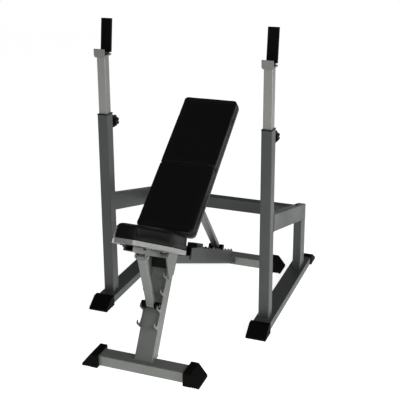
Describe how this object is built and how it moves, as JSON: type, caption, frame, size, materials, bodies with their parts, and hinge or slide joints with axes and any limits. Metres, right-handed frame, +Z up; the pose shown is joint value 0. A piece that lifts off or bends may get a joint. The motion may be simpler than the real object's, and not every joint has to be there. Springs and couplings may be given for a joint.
{
  "type": "olympic bench press",
  "caption": "Barbell rack with telescopic uprights, clamp knobs and guarded bar cradles over a free-standing bench with a tilting seat and an adjustable backrest.",
  "frame": {"origin": "middle of the footprint's bounding box, on the floor", "axes": "+Z up, +Y from the seat towards the rear of the rack, X across"},
  "size_m": [1.074, 1.8164, 1.6747],
  "materials": {
    "frame_paint": "satin dark grey powder coat",
    "bench_paint": "satin silver-grey powder coat",
    "inner_steel": "satin plated tube",
    "plate_steel": "plated plate",
    "black_rubber": "moulded black rubber",
    "black_plastic": "fine grained black plastic",
    "black_steel": "black oxide fasteners",
    "zinc_steel": "zinc plated fasteners",
    "black_vinyl": "black leather-grained vinyl over foam",
    "seat_board_paint": "silver-grey painted board edge",
    "back_board_paint": "board covered in dark vinyl"
  },
  "bodies": {
    "rack": {"left_base_rail": "frame_paint", "right_base_rail": "frame_paint", "left_upright": "frame_paint", "right_upright": "frame_paint", "left_guide_bush": "black_plastic", "right_guide_bush": "black_plastic", "left_rear_post": "frame_paint", "right_rear_post": "frame_paint", "left_side_rail": "frame_paint", "right_side_rail": "frame_paint", "rear_crossbar": "frame_paint", "crossbar_bolts": "black_steel", "side_rail_plugs": "black_plastic", "left_front_cap": "black_rubber", "right_front_cap": "black_rubber", "left_rear_cap": "black_rubber", "right_rear_cap": "black_rubber", "clamp_nuts": "zinc_steel"},
    "left_arm": {"left_inner_tube": "inner_steel", "left_bar_cradle": "plate_steel", "left_guard_sleeve": "black_rubber"},
    "right_arm": {"right_inner_tube": "inner_steel", "right_bar_cradle": "plate_steel", "right_guard_sleeve": "black_rubber"},
    "left_knob": {"left_clamp_stud": "zinc_steel", "left_clamp_knob": "black_plastic"},
    "right_knob": {"right_clamp_stud": "zinc_steel", "right_clamp_knob": "black_plastic"},
    "bench": {"bench_front_foot": "bench_paint", "bench_rear_foot": "bench_paint", "front_foot_left_cap": "black_rubber", "front_foot_right_cap": "black_rubber", "rear_foot_left_cap": "black_rubber", "rear_foot_right_cap": "black_rubber", "front_leg": "bench_paint", "main_beam": "frame_paint", "left_leg_hooks": "plate_steel", "right_leg_hooks": "plate_steel", "left_beam_rack": "frame_paint", "right_beam_rack": "frame_paint", "left_hinge_ear": "bench_paint", "right_hinge_ear": "bench_paint", "leg_top_cover": "black_plastic", "strut_stop": "black_plastic", "seat_hinge_pin": "zinc_steel", "back_hinge_pin": "zinc_steel"},
    "seat": {"seat_pad": "black_vinyl", "seat_board": "seat_board_paint", "seat_frame": "bench_paint", "seat_bolts": "black_steel", "seat_strut_pin": "zinc_steel"},
    "seat_strut_arm": {"seat_strut": "bench_paint", "seat_strut_sleeves": "black_rubber"},
    "backrest": {"back_pad": "black_vinyl", "back_board": "back_board_paint", "back_frame": "bench_paint", "back_bolts": "black_steel", "back_strut_pin": "zinc_steel"},
    "back_strut_arm": {"back_strut": "bench_paint", "back_strut_sleeves": "black_rubber"}
  },
  "joints": [
    {"name": "left_arm_height", "type": "slide", "parent": "rack", "child": "left_arm", "axis": [0, 0, 1], "range_m": [-0.3, 0.1]},
    {"name": "right_arm_height", "type": "slide", "parent": "rack", "child": "right_arm", "axis": [0, 0, 1], "range_m": [-0.3, 0.1]},
    {"name": "left_knob_turn", "type": "hinge", "parent": "rack", "child": "left_knob", "pos_m": [-0.48, 0.00824, 1.079], "axis": [0, 1, 0], "range_deg": [0, 540]},
    {"name": "right_knob_turn", "type": "hinge", "parent": "rack", "child": "right_knob", "pos_m": [0.48, 0.00824, 1.079], "axis": [0, 1, 0], "range_deg": [0, 540]},
    {"name": "bench_slide", "type": "slide", "parent": "rack", "child": "bench", "axis": [0, -1, 0], "range_m": [0, 0.3]},
    {"name": "seat_tilt", "type": "hinge", "parent": "bench", "child": "seat", "pos_m": [0.04, -0.52488, 0.55792], "axis": [-1, 0, 0], "range_deg": [0, 10]},
    {"name": "seat_strut_fold", "type": "hinge", "parent": "seat", "child": "seat_strut_arm", "pos_m": [0.04, -0.72011, 0.62686], "axis": [1, 0, 0], "range_deg": [0, 6.7]},
    {"name": "backrest_tilt", "type": "hinge", "parent": "bench", "child": "backrest", "pos_m": [0.04, -0.359, 0.59071], "axis": [1, 0, 0], "range_deg": [0, 30]},
    {"name": "back_strut_fold", "type": "hinge", "parent": "backrest", "child": "back_strut_arm", "pos_m": [0.04, -0.09281, 0.78912], "axis": [-1, 0, 0], "range_deg": [0, 34]}
  ],
  "couplings": [
    {"joint": "seat_strut_fold", "follows": "seat_tilt", "ratio": 0.637},
    {"joint": "back_strut_fold", "follows": "backrest_tilt", "ratio": 1.12}
  ]
}
